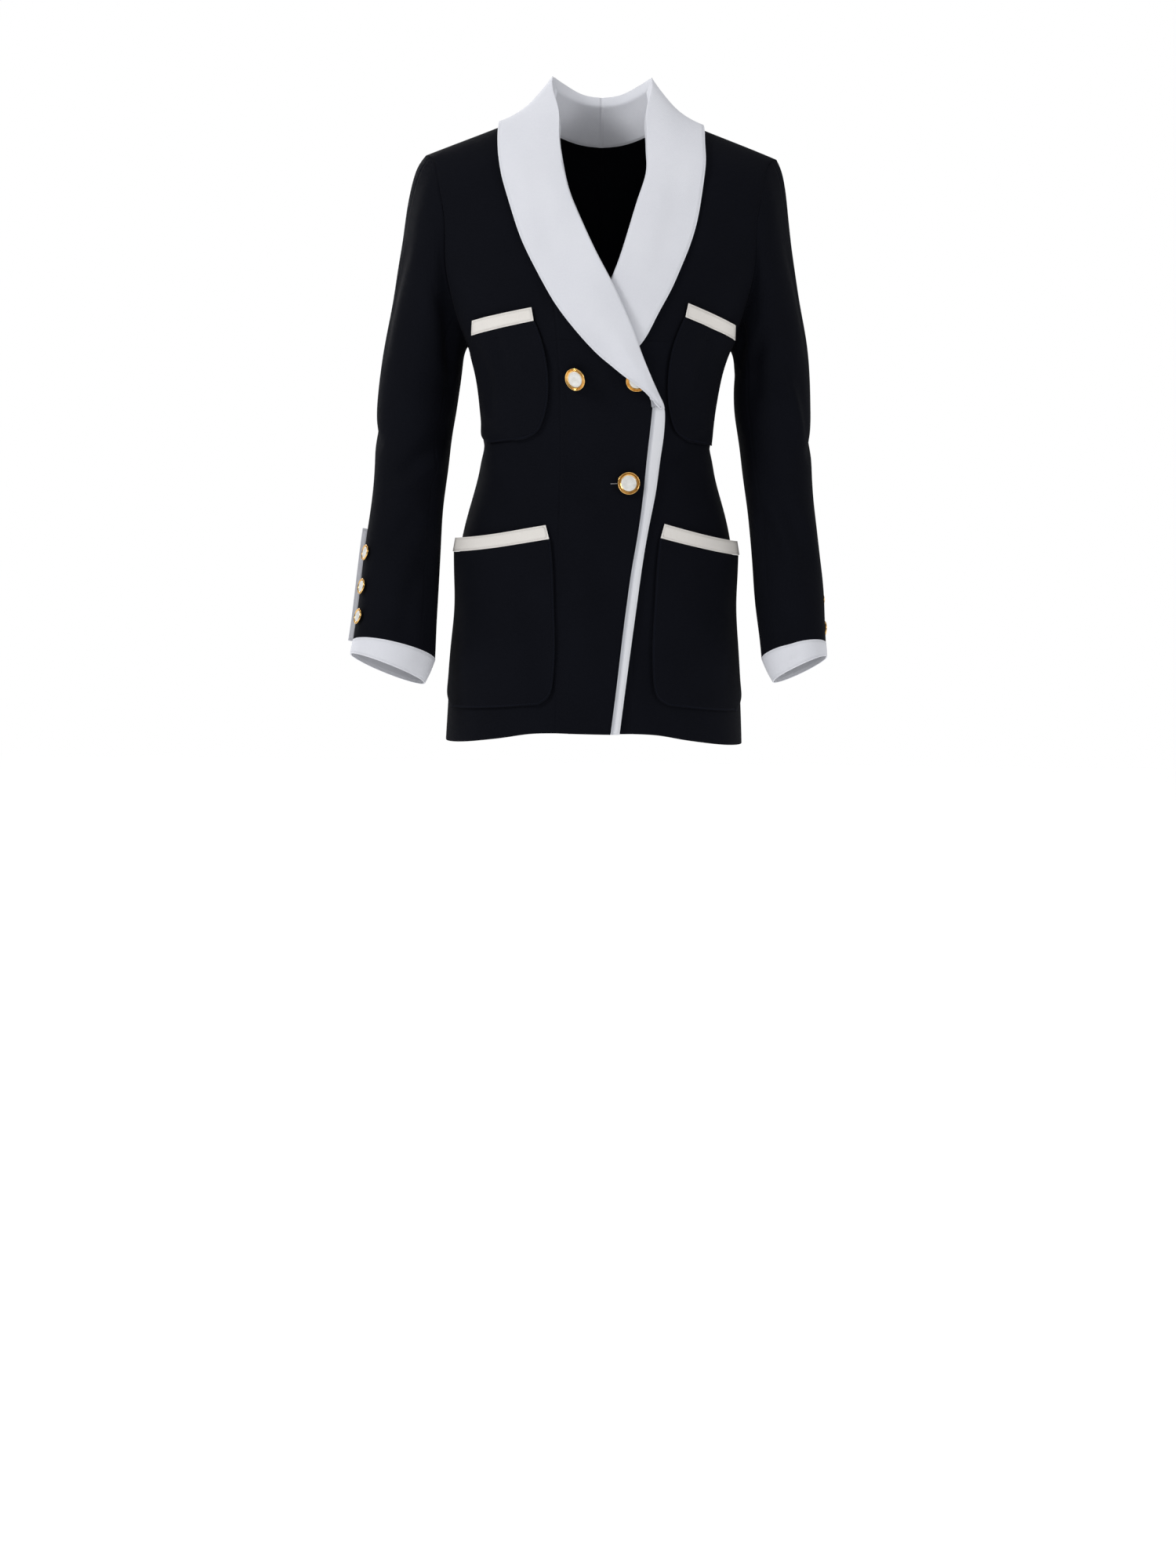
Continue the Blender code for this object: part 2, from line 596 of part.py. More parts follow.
def between(grid, row, q):
    """A point of a ring grid at a fractional row and a fractional place round it."""
    i, j = int(row), math.floor(q)
    low = [mix(a, b, q - j) for a, b in zip(grid[i][j % RING], grid[i][(j + 1) % RING])]
    high = [mix(a, b, q - j) for a, b in zip(grid[i + 1][j % RING], grid[i + 1][(j + 1) % RING])]
    return tuple(mix(a, b, row - i) for a, b in zip(low, high))


def button(name, centre, axis, radius):
    """A ring with a shank behind and a plain domed centre in front, both turned round the axis."""
    axis = unit(axis)
    side_way = unit(cross(axis, (0, 0, 1)))
    up_way = cross(side_way, axis)
    segments = 20 if radius > 10 else 16
    seat = radius * 0.70
    rim = ((0, 0.4), (radius * 0.3, 0.4), (radius * 0.34, 1.4), (radius * 0.93, 1.6), (radius, 2.6),
           (radius * 0.93, 4.2), (radius * 0.8, 4.3), (seat, 3.0), (0, 2.7))
    dome = ((0, 3.0), (seat - 0.4, 3.3), (seat - 0.7, 4.1), (radius * 0.38, 5.1), (0, 5.3))
    for part, profile, surface in (("_rim", rim, GOLD), ("_centre", dome, ENAMEL)):
        made = bmesh.new()
        lines = []
        for away, high in profile:
            points = 1 if away == 0 else segments
            line = []
            for k in range(points):
                turn = 2 * math.pi * k / segments
                spot = add(centre, axis, high)
                spot = add(add(spot, side_way, away * math.cos(turn)), up_way, away * math.sin(turn))
                line.append(made.verts.new([c * MM for c in spot]))
            lines.append(line)
        for low, high in zip(lines, lines[1:]):
            for k in range(segments):
                n = (k + 1) % segments
                if len(low) == 1:
                    made.faces.new((low[0], high[n], high[k]))
                elif len(high) == 1:
                    made.faces.new((low[k], low[n], high[0]))
                else:
                    made.faces.new((low[k], low[n], high[n], high[k]))
        bmesh.ops.recalc_face_normals(made, faces=made.faces)
        if made.calc_volume(signed=True) < 0:
            bmesh.ops.reverse_faces(made, faces=made.faces)
        new_object(name + part, made, surface)


def cuff(name, side, rings, normals):
    """A white ring that follows on from the sleeve's hem, deeper in front and at its drawn-in inner side."""
    down = [unit(add(a, b, -1)) for a, b in zip(rings[-1], rings[-2])]
    grid = []
    for drop, out, tuck in CUFF:
        line = []
        for q, (p, way) in enumerate(zip(rings[-1], down)):
            inner_share = (1 - math.cos(2 * math.pi * q / RING)) / 2
            longer = CUFF_FRONT * math.sin(2 * math.pi * q / RING)
            fall = drop * (mix(CUFF_OUTER, CUFF_INNER, inner_share) + longer) if drop > 1 else drop
            point = add(p, way, fall)
            line.append((point[0] + side * mix(out, tuck, inner_share), point[1], point[2]))
        grid.append(line)
    facing = [normals[-1]] * len(grid)
    shell(name, moved(grid, facing, CUFF_STAND), moved(grid, facing, -WALL - CUFF_STAND), WHITE, around=True)


def left_turn(row):
    return read(LEFT_TURN, row)


def no_turn(row):
    return 0


def vent_strip(name, rings, normals, turn):
    """The white strip that lies behind the buttoned edge and stands out past it."""
    grid = []
    for row in VENT_ROWS:
        places = [(q + turn(row), off) for q, off in VENT_PLACES]
        grid.append([add(between(rings, row, q), between(normals, row, q), off) for q, off in places])
    facing = grid_normals(grid)
    shell(name, moved(grid, facing, VENT_WALL / 2), moved(grid, facing, -VENT_WALL / 2), WHITE)


for side, word in ((RIGHT, "right"), (LEFT, "left")):
    rings = sleeve_rings(side)
    normals = grid_normals(rings, around=True)
    rim = []
    for q in range(RING):
        face = FRONT if q <= RING // 2 else BACK
        out, z = armhole_point(abs(RING // 2 - q), face)
        rim.append(body_normal(side * out, z, face))
    middle = [sum(p[axis] for p in rings[8]) / RING for axis in range(3)]
    if sum((p - m) * n for p, m, n in zip(rings[8][0], middle, normals[8][0])) < 0:
        normals = [[tuple(-c for c in n) for n in line] for line in normals]
    normals[0] = rim
    sleeve_piece("sleeve_top_" + word, rings, normals, OUTER_SEAM, INNER_SEAM, NAVY)
    sleeve_piece("sleeve_under_" + word, rings, normals, INNER_SEAM, RING + OUTER_SEAM, NAVY)
    cuff("cuff_" + word, side, rings, normals)
    turn = left_turn if side == LEFT else no_turn
    vent_strip("vent_strip_" + word, rings, normals, turn)
    for number, row in enumerate(SLEEVE_BUTTON_ROWS, 1):
        place = SLEEVE_BUTTON_PLACE + turn(row)
        spot, facing = between(rings, row, place), between(normals, row, place)
        seat = add(spot, facing, BUTTON_SEAT)
        button("sleeve_button_%s_%d" % (word, number), seat, facing, SLEEVE_BUTTON_RADIUS)

for number, (x, z) in enumerate(FRONT_BUTTONS, 1):
    spot = on_body(x, z, FRONT, over_lift(x, z) + BUTTON_SEAT)
    button("front_button_%d" % number, spot, body_normal(x, z, FRONT), FRONT_BUTTON_RADIUS)
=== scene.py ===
"""Looks for the double-breasted cotton jacket: creased and sewn cloth, buttons, studio and camera."""
import json
import math

import bmesh
import bpy
import numpy as np
from mathutils import Matrix, Vector, noise
from mathutils.bvhtree import BVHTree
from mathutils.kdtree import KDTree

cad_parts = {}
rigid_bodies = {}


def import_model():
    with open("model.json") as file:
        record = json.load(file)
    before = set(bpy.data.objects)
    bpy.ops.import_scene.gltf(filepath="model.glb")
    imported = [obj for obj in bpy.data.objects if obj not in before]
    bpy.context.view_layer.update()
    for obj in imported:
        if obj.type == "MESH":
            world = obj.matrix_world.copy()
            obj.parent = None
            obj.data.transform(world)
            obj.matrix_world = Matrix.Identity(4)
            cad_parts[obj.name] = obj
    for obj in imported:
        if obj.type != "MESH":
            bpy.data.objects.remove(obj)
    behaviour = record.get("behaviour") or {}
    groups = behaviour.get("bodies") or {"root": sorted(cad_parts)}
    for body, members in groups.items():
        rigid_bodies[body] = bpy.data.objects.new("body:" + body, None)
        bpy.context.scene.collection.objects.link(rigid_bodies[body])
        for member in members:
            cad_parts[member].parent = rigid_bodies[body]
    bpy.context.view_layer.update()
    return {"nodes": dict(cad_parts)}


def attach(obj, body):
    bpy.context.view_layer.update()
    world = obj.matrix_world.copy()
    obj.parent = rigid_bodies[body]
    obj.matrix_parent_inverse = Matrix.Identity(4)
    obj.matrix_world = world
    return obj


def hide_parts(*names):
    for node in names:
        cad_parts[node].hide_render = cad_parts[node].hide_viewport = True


for leftover in list(bpy.data.objects):
    bpy.data.objects.remove(leftover, do_unlink=True)
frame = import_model()

MM = 0.001
WELD = 0.01 * MM
CLOTH_THICKNESS = 1.1 * MM
# A wall's two skins lie within this reach, and their normals' dot product is below FACING_BACK.
SKIN_REACH = 4.2 * MM
FACING_BACK = -0.3
SHARP_BEND = math.radians(60)
CORNER = math.radians(42)
SMOOTH_BEND = math.radians(50)
SEAM_REACH = 0.16 * MM
# An arm's middle across at the armhole, how far it goes outwards and forwards down to the cuff, and its drop.
ARM_X, ARM_SPREAD, ARM_FORWARD, ARM_LENGTH = 205 * MM, 27 * MM, 70 * MM, 300 * MM
# Below this height the upper lapel's tip is drawn in towards this place across, to this share of its width.
TIP_TOP, TIP_MIDDLE, TIP_SHARE = -328 * MM, 72 * MM, 0.36
# The steps that carry the edge band on under the collar, each its rise in millimetres and the width kept.
TUCK_STEPS = ((2.5, 0.72), (4.5, 0.9), (5, 0.9))
STITCH_STEP = 2 * MM
FRONT_BUTTON_RADIUS, SLEEVE_BUTTON_RADIUS = 12.6 * MM, 9.0 * MM
FRONT_BUTTON_TURNS = (-27, 0, 3)
# The buttonhole's thread: its points across and its height at BUTTON_X, in millimetres, and its slope.
BUTTONHOLE_X, BUTTONHOLE_Z, BUTTONHOLE_SLOPE = (15, 17, 19, 21, 23), -414.3, 0.06
BUTTON_X = 12
FLOOR_Z = -1.587
CAMERA_PLACE = (-0.0058, -2.53, -0.3826)
CAMERA_PITCH = math.radians(8.6)
CAMERA_ROLL = math.radians(0.726)
FINE = 3

SIDES = ("right", "left")
BODY_CLOTH = [part + "_" + side for part in ("front", "side_front", "back") for side in SIDES]
SLEEVE_CLOTH = [part + "_" + side for part in ("sleeve_top", "sleeve_under") for side in SIDES]
POCKETS = [part + "_" + side for part in ("chest_pocket", "hip_pocket") for side in SIDES]
POCKET_BANDS = [name + "_band" for name in POCKETS]
COLLARS = ["collar_" + side for side in SIDES]
CUFFS = ["cuff_" + side for side in SIDES]
VENT_STRIPS = ["vent_strip_" + side for side in SIDES]
ALL_CLOTH = BODY_CLOTH + SLEEVE_CLOTH + POCKETS + POCKET_BANDS + COLLARS + ["edge_band"] + CUFFS + VENT_STRIPS

# Creases in millimetres. Each has the cloth it is on, the side that its points are seen from, the points
# across and up, its half width and its depth. A negative depth is a ridge.
CREASES = (
    ("body", "front", ((-128, -226), (-112, -262), (-104, -300)), 11, 3.5),
    ("body", "front", ((-140, -262), (-124, -300), (-118, -345)), 14, 3.0),
    ("body", "front", ((132, -232), (118, -270), (110, -312)), 12, 3.2),
    ("body", "front", ((-128, -352), (-96, -372), (-58, -384)), 12, 2.7),
    ("body", "front", ((-128, -384), (-98, -398), (-66, -404)), 13, -2.2),
    ("body", "front", ((128, -356), (100, -374), (76, -384)), 12, 2.4),
    ("body", "front", ((-84, -500), (-66, -590), (-46, -686)), 20, 4.1),
    ("body", "front", ((-18, -450), (-12, -560), (-8, -686)), 22, -3.2),
    ("body", "front", ((8, -424), (-12, -428), (-40, -440)), 9, 1.9),
    ("body", "front", ((52, -560), (66, -640), (76, -690)), 16, 3.0),
    ("body", "front", ((-118, -60), (-96, -110), (-84, -160)), 20, 2.4),
    ("body", "front", ((122, -64), (104, -112), (94, -158)), 18, 2.2),
    ("body", "back", ((-60, -372), (-20, -380), (20, -378), (64, -368)), 12, 3.5),
    ("body", "back", ((-90, -398), (-40, -408), (26, -404), (84, -394)), 14, -2.7),
    ("body", "back", ((-104, -346), (-64, -352), (-30, -350)), 12, 2.7),
    ("body", "back", ((30, -348), (72, -350), (108, -340)), 11, 3.0),
    ("body", "back", ((-130, -215), (-112, -262), (-98, -318)), 14, 3.8),
    ("body", "back", ((128, -222), (112, -266), (102, -314)), 14, 3.5),
    ("body", "back", ((-70, -520), (-84, -610), (-92, -706)), 22, 3.8),
    ("body", "back", ((66, -500), (80, -600), (84, -706)), 20, 3.5),
    ("body", "back", ((-10, -560), (-6, -640), (-8, -706)), 18, -2.7),
    ("body", "back", ((-40, -60), (0, -72), (44, -62)), 16, 2.4),
    ("body", "right", ((-30, -372), (10, -380), (44, -374)), 11, 2.7),
    ("body", "left", ((-34, -368), (4, -378), (40, -376)), 11, 2.7),
    ("sleeve", "front", ((-176, -206), (-166, -242), (-166, -284)), 11, 5.4),
    ("sleeve", "front", ((-178, -232), (-166, -276), (-168, -318)), 12, 3.8),
    ("sleeve", "front", ((-171, -354), (-196, -384), (-224, -409)), 13, 5.4),
    ("sleeve", "front", ((-176, -392), (-206, -414), (-236, -428)), 10, -3.8),
    ("sleeve", "front", ((-195, -450), (-216, -472), (-236, -489)), 15, 4.2),
    ("sleeve", "front", ((-190, -500), (-206, -540), (-214, -590)), 14, 3.2),
    ("sleeve", "front", ((164, -200), (156, -240), (158, -284)), 11, 5.1),
    ("sleeve", "front", ((186, -236), (176, -280), (178, -322)), 12, 3.5),
    ("sleeve", "front", ((210, -292), (222, -330), (231, -366)), 10, -4.8),
    ("sleeve", "front", ((186, -403), (208, -432), (225, -466), (240, -508)), 13, 5.8),
    ("sleeve", "front", ((180, -440), (196, -472), (206, -504)), 12, 3.8),
    ("sleeve", "front", ((196, -548), (212, -580), (220, -604)), 12, 2.9),
    ("sleeve", "back", ((-168, -230), (-176, -270), (-190, -312)), 13, 4.1),
    ("sleeve", "back", ((-180, -350), (-206, -364), (-236, -366)), 12, 4.1),
    ("sleeve", "back", ((-184, -384), (-212, -394), (-244, -388)), 10, -3.0),
    ("sleeve", "back", ((-192, -416), (-218, -424), (-246, -414)), 12, 3.5),
    ("sleeve", "back", ((-204, -500), (-226, -520), (-250, -532)), 13, 3.0),
    ("sleeve", "back", ((170, -226), (180, -268), (192, -306)), 13, 3.8),
    ("sleeve", "back", ((176, -344), (204, -358), (232, -362)), 12, 3.8),
    ("sleeve", "back", ((180, -380), (208, -392), (238, -392)), 11, -3.0),
    ("sleeve", "back", ((188, -420), (214, -430), (240, -422)), 12, 3.2),
    ("sleeve", "back", ((202, -504), (222, -526), (246, -536)), 13, 2.7),
    ("sleeve", "right", ((-34, -150), (-18, -214), (-26, -284)), 15, 2.4),
    ("sleeve", "right", ((20, -330), (-14, -362), (-44, -376)), 12, 3.0),
    ("sleeve", "left", ((-30, -146), (-16, -208), (-24, -276)), 15, 2.4),
    ("sleeve", "left", ((22, -336), (-12, -366), (-42, -384)), 12, 3.0),
    ("collar", "front", ((-74, -70), (-62, -130), (-48, -180)), 15, 1.5),
    ("collar", "front", ((84, -64), (80, -126), (64, -182)), 15, 1.5),
    ("collar", "front", ((-26, -236), (2, -262), (28, -292)), 12, 1.3),
    ("collar", "back", ((-64, -20), (-30, -36), (4, -40)), 12, 1.5),
    ("collar", "back", ((14, -30), (46, -28), (76, -12)), 12, -1.3),
)
# A wave texture of this scale over a thread's width, in metres, has one rib for each thread.
WAVE_SCALE = 0.314
RIPPLE_HEIGHT = 0.9 * MM
RIPPLE_LENGTH = 70 * MM


def new_piece(name, mesh):
    piece = bpy.data.objects.new(name, mesh)
    bpy.context.scene.collection.objects.link(piece)
    return piece


def choose(piece):
    """Selects one piece alone and makes it the active one."""
    bpy.ops.object.select_all(action="DESELECT")
    piece.select_set(True)
    bpy.context.view_layer.objects.active = piece


def apply_modifiers(piece):
    choose(piece)
    for modifier in list(piece.modifiers):
        bpy.ops.object.modifier_apply(modifier=modifier.name)


def middle_axis(node):
    """Gives the level way out at a point from the middle of what the node wraps round: trunk or arm."""
    if not node.startswith(("sleeve", "cuff", "vent")):
        return lambda point: Vector((point.x, point.y, 0))
    side = -1 if node.endswith("right") else 1

    def away(point):
        down = min(max((point.z + ARM_LENGTH) / -ARM_LENGTH, 0), 1)
        return Vector((point.x - side * (ARM_X + ARM_SPREAD * down), point.y + ARM_FORWARD * down * down, 0))

    return away


def outer_skin(node):
    """The outer skin of a CAD sheet. A rim face has nothing close behind it, so rims are found by rays."""
    work = bmesh.new()
    work.from_mesh(frame["nodes"][node].data)
    bmesh.ops.remove_doubles(work, verts=work.verts, dist=WELD)
    bmesh.ops.recalc_face_normals(work, faces=work.faces)
    work.normal_update()
    tree = BVHTree.FromBMesh(work)
    rim = []
    for face in work.faces:
        start = face.calc_center_median() - face.normal * WELD
        spot, facing, _, _ = tree.ray_cast(start, -face.normal, SKIN_REACH)
        if spot is None or facing.dot(face.normal) > FACING_BACK:
            rim.append(face)
    bmesh.ops.delete(work, geom=rim, context="FACES_ONLY")
    away = middle_axis(node)
    best, best_sum = None, 0
    seen = set()
    for first in list(work.faces):
        if first in seen:
            continue
        group, queue = [], [first]
        seen.add(first)
        while queue:
            here = queue.pop()
            group.append(here)
            for edge in here.edges:
                if len(edge.link_faces) != 2 or edge.calc_face_angle(0) > SHARP_BEND:
                    continue
                for other in edge.link_faces:
                    if other not in seen:
                        seen.add(other)
                        queue.append(other)
        total = sum(f.calc_area() * f.normal.dot(away(f.calc_center_median()).normalized()) for f in group)
        if total > best_sum:
            best, best_sum = group, total
    keep = set(best)
    bmesh.ops.delete(work, geom=[f for f in work.faces if f not in keep], context="FACES")
    bmesh.ops.delete(work, geom=[v for v in work.verts if not v.link_faces], context="VERTS")
    bmesh.ops.join_triangles(
        work, faces=work.faces, angle_face_threshold=SMOOTH_BEND, angle_shape_threshold=SHARP_BEND,
        cmp_seam=False, cmp_sharp=False, cmp_uvs=False, cmp_vcols=False, cmp_materials=False,
    )
    return work


def reach_out(piece, distance):
    """Moves the border of an open sheet outwards along the cloth, so that pieces meet at their seams."""
    work = bmesh.new()
    work.from_mesh(piece.data)
    work.normal_update()
    moves = {}
    for edge in work.edges:
        if edge.is_boundary:
            face = edge.link_faces[0]
            way = (edge.verts[1].co - edge.verts[0].co).normalized().cross(face.normal)
            if way.dot(face.calc_center_median() - edge.verts[0].co) > 0:
                way.negate()
            for vert in edge.verts:
                moves.setdefault(vert, []).append(way)
    for vert, ways in moves.items():
        way = sum(ways, Vector())
        if way.length > 0.1:
            vert.co += way * (distance * len(ways) / way.length_squared)
    work.to_mesh(piece.data)
    work.free()


def on_pattern(piece):
    """Unwraps the piece upright at true size, so that its UV map is the cut pattern, in metres."""
    choose(piece)
    bpy.ops.object.mode_set(mode="EDIT")
    bpy.ops.mesh.select_all(action="SELECT")
    bpy.ops.uv.unwrap(method="CONFORMAL", margin=0)
    bpy.ops.object.mode_set(mode="OBJECT")
    mesh = piece.data
    uv = np.empty(len(mesh.loops) * 2, np.float32)
    mesh.uv_layers.active.data.foreach_get("uv", uv)
    uv = uv.reshape(-1, 2).astype(float)
    heights = np.array([mesh.vertices[loop.vertex_index].co.z for loop in mesh.loops])
    flat_area = 0
    for polygon in mesh.polygons:
        corners = uv[list(polygon.loop_indices)]
        after = np.roll(corners, -1, axis=0)
        flat_area += abs(np.sum(corners[:, 0] * after[:, 1] - corners[:, 1] * after[:, 0])) / 2
    uv *= math.sqrt(sum(p.area for p in mesh.polygons) / flat_area)
    uv -= uv.mean(axis=0)
    up = np.linalg.lstsq(uv, heights - heights.mean(), rcond=None)[0]
    up /= np.hypot(*up) or 1
    uv = np.stack([uv @ np.array([up[1], -up[0]]), uv @ up], axis=1)
    mesh.uv_layers.active.data.foreach_set("uv", uv.astype(np.float32).ravel())
    return cut_size(uv)


def cut_size(uv):
    """The sides of the smallest rectangle that the pattern can be cut from."""
    best = None
    for turn in np.radians(np.arange(0, 90, 2)):
        way = np.array([math.cos(turn), math.sin(turn)])
        across, along = uv @ way, uv @ np.array([-way[1], way[0]])
        size = (float(np.ptp(across)), float(np.ptp(along)))
        if best is None or size[0] * size[1] < best[0] * best[1]:
            best = size
    return best


def through_points(piece):
    """Subdivides the piece so that its smooth surface still passes through its own points."""
    mesh = piece.data
    wanted = np.empty(len(mesh.vertices) * 3, np.float32)
    mesh.vertices.foreach_get("co", wanted)
    held = wanted.copy()
    fine = piece.modifiers.new("Fine cloth", "SUBSURF")
    fine.levels = fine.render_levels = FINE
    fine.boundary_smooth = "PRESERVE_CORNERS"
    for _ in range(5):
        graph = bpy.context.evaluated_depsgraph_get()
        shown = piece.evaluated_get(graph).data
        reached = np.empty(len(shown.vertices) * 3, np.float32)
        shown.vertices.foreach_get("co", reached)
        held += wanted - reached[: len(wanted)]
        mesh.vertices.foreach_set("co", held)
        mesh.update()
        piece.update_tag()
    apply_modifiers(piece)


def border_loops(mesh):
    """The borders of an open sheet, each as a closed round of point numbers."""
    uses = {}
    for polygon in mesh.polygons:
        for key in polygon.edge_keys:
            uses[key] = uses.get(key, 0) + 1
    following = {}
    for (a, b), count in uses.items():
        if count == 1:
            following.setdefault(a, []).append(b)
            following.setdefault(b, []).append(a)
    loops, left = [], set(following)
    while left:
        here = min(left)
        loop = []
        while here in left:
            loop.append(here)
            left.discard(here)
            here = next((v for v in following[here] if v in left), here)
        if len(loop) > 7:
            loops.append(loop)
    return loops


def border_corners(mesh):
    """The numbers of the border points where the outline turns sharply."""
    found = set()
    for loop in border_loops(mesh):
        for i, here in enumerate(loop):
            at = mesh.vertices[here].co
            before = at - mesh.vertices[loop[i - 1]].co
            after = mesh.vertices[loop[(i + 1) % len(loop)]].co - at
            if before.angle(after, 0) > CORNER:
                found.add(here)
    return found


def border_sides(mesh, corners):
    """The borders cut at the corners, each side a list of points."""
    sides = []
    for loop in border_loops(mesh):
        places = [mesh.vertices[i].co.copy() for i in loop]
        count = len(loop)
        cuts = [i for i in range(count) if loop[i] in corners]
        if not cuts:
            sides.append(places + places[:1])
        for a, b in zip(cuts, cuts[1:] + [c + count for c in cuts[:1]]):
            sides.append([places[i % count] for i in range(a, b + 1)])
    return sides


def side_length(side):
    return sum((b - a).length for a, b in zip(side, side[1:]))


def stitched_sides(node, sides):
    """The sides that carry a row of stitching."""
    if node == "edge_band":
        long = sorted(sides, key=side_length)[-2:]
        return [min(long, key=lambda side: sum(p.x for p in side) / len(side))]
    if node in COLLARS:
        return [max(sides, key=side_length)]
    if node in POCKETS:
        top = max(sides, key=lambda side: sum(p.z for p in side) / len(side))
        return [side for side in sides if side is not top]
    return [] if node in BODY_CLOTH + SLEEVE_CLOTH else sides


def mark_borders(piece, sides):
    """Stores each point's distance from the border and from the stitched sides, and its place along them."""
    mesh = piece.data
    chosen = stitched_sides(piece.name.removesuffix("_cloth"), sides)
    for name, lines in (("rim", sides), ("hem", chosen)):
        spots = []
        along = 0
        for line in lines:
            for a, b in zip(line, line[1:]):
                length = (b - a).length
                count = max(1, round(length / STITCH_STEP))
                way = (b - a).normalized()
                spots += [(a.lerp(b, k / count), along + length * k / count, way) for k in range(count)]
                along += length
        if not spots:
            spots = [(Vector((0, 0, 9)), 0.0, Vector((1, 0, 0)))]
        tree = KDTree(len(spots))
        for i, spot in enumerate(spots):
            tree.insert(spot[0], i)
        tree.balance()
        away = np.zeros(len(mesh.vertices), np.float32)
        run = np.zeros(len(mesh.vertices), np.float32)
        for i, vertex in enumerate(mesh.vertices):
            _, k, _ = tree.find(vertex.co)
            spot, start, way = spots[k]
            offset = vertex.co - spot
            forward = min(max(offset.dot(way), -STITCH_STEP), STITCH_STEP)
            away[i] = (offset - way * forward).length
            run[i] = start + forward
        mesh.attributes.new(name, "FLOAT", "POINT").data.foreach_set("value", away)
        if name == "hem":
            mesh.attributes.new("run", "FLOAT", "POINT").data.foreach_set("value", run)


VIEW_WAYS = {"front": (0, 1, 0), "back": (0, -1, 0), "right": (1, 0, 0), "left": (-1, 0, 0)}
CREASED = {
    "body": [name for name in ALL_CLOTH if not name.startswith(("sleeve", "cuff", "vent"))],
    "sleeve": SLEEVE_CLOTH + CUFFS + VENT_STRIPS,
    "collar": COLLARS,
}


def smooth_line(points, steps=6):
    """A curve through the points, with the same number of steps between each two."""
    found = []
    for i in range(len(points) - 1):
        a, b, c, d = points[max(i - 1, 0)], points[i], points[i + 1], points[min(i + 2, len(points) - 1)]
        for k in range(steps):
            t = k / steps
            found.append((b * 2 + (c - a) * t + (a * 2 - b * 5 + c * 4 - d) * t * t
                          + (b * 3 - a - c * 3 + d) * t * t * t) / 2)
    return found + [points[-1]]


def crease_paths():
    """Lays each crease on the CAD cloth, as it is seen from its side."""
    trees = {}
    for group, names in CREASED.items():
        work = bmesh.new()
        for name in names:
            work.from_mesh(frame["nodes"][name].data)
        trees[group] = BVHTree.FromBMesh(work)
        work.free()
    found = []
    for group, seen_from, points, half_width, depth in CREASES:
        way = Vector(VIEW_WAYS[seen_from])
        spots = []
        for across, up in points:
            spot = Vector((across, 0, up) if way.y else (0, across, up)) * MM - way
            hit = trees[group].ray_cast(spot, way)[0]
            if hit is not None:
                spots.append(hit)
        if len(spots) > 1:
            line = np.array([list(p) for p in smooth_line(spots)])
            found.append((group, line, half_width * MM, depth * MM))
    return found


PATHS = crease_paths()


def near_line(points, line):
    """Each point's distance from a broken line, and how far along it the nearest place is, from 0 to 1."""
    best = np.full(len(points), 9.0)
    share = np.zeros(len(points))
    count = len(line) - 1
    for i in range(count):
        a, way = line[i], line[i + 1] - line[i]
        t = np.clip((points - a) @ way / (way @ way), 0, 1)
        away = np.linalg.norm(points - a - t[:, None] * way, axis=1)
        closer = away < best
        best[closer] = away[closer]
        share[closer] = (i + t[closer]) / count
    return best, share


def crease(piece):
    """Moves the cloth in and out along its normals, by its creases and by a slight ripple."""
    mesh = piece.data
    points = np.empty(len(mesh.vertices) * 3, np.float32)
    normals = np.empty(len(mesh.vertices) * 3, np.float32)
    mesh.vertices.foreach_get("co", points)
    mesh.vertex_normals.foreach_get("vector", normals)
    points, normals = points.reshape(-1, 3).astype(float), normals.reshape(-1, 3).astype(float)
    node = piece.name.removesuffix("_cloth")
    moved = np.zeros(len(points))
    for group, line, half_width, depth in PATHS:
        if node not in CREASED[group]:
            continue
        away, share = near_line(points, line)
        across = (away / half_width) ** 2
        ends = np.sin(np.clip(share, 0.02, 0.98) * math.pi) ** 0.6
        moved -= depth * ends * (1 - 0.45 * across) * np.exp(-0.9 * across)
    ripple = np.array([noise.noise(Vector(p) / RIPPLE_LENGTH) for p in points])
    moved += ripple * RIPPLE_HEIGHT
    points += normals * moved[:, None]
    mesh.vertices.foreach_set("co", points.astype(np.float32).ravel())
    mesh.update()


def tuck_under_collar(piece):
    """Carries the edge band on upwards, narrower, so that it comes out from under the collar's tip."""
    work = bmesh.new()
    work.from_mesh(piece.data)
    for rise, share in TUCK_STEPS:
        top = max(v.co.z for v in work.verts)
        edges = [e for e in work.edges if e.is_boundary and min(v.co.z for v in e.verts) > top - 1 * MM]
        added = bmesh.ops.extrude_edge_only(work, edges=edges)["geom"]
        verts = [item for item in added if isinstance(item, bmesh.types.BMVert)]
        inner = min(v.co.x for v in verts)
        for vert in verts:
            vert.co.x = inner + (vert.co.x - inner) * share
            vert.co += Vector((-0.2, -0.35, 1)) * (rise * MM)
    bmesh.ops.recalc_face_normals(work, faces=work.faces)
    if sum(face.normal.y for face in work.faces) > 0:
        bmesh.ops.reverse_faces(work, faces=work.faces)
    work.to_mesh(piece.data)
    work.free()


def narrow_tip(piece):
    """Brings the foot of the upper lapel to a narrow tip at its fold."""
    for vertex in piece.data.vertices:
        if vertex.co.z < TIP_TOP:
            vertex.co.x = TIP_MIDDLE + (vertex.co.x - TIP_MIDDLE) * TIP_SHARE


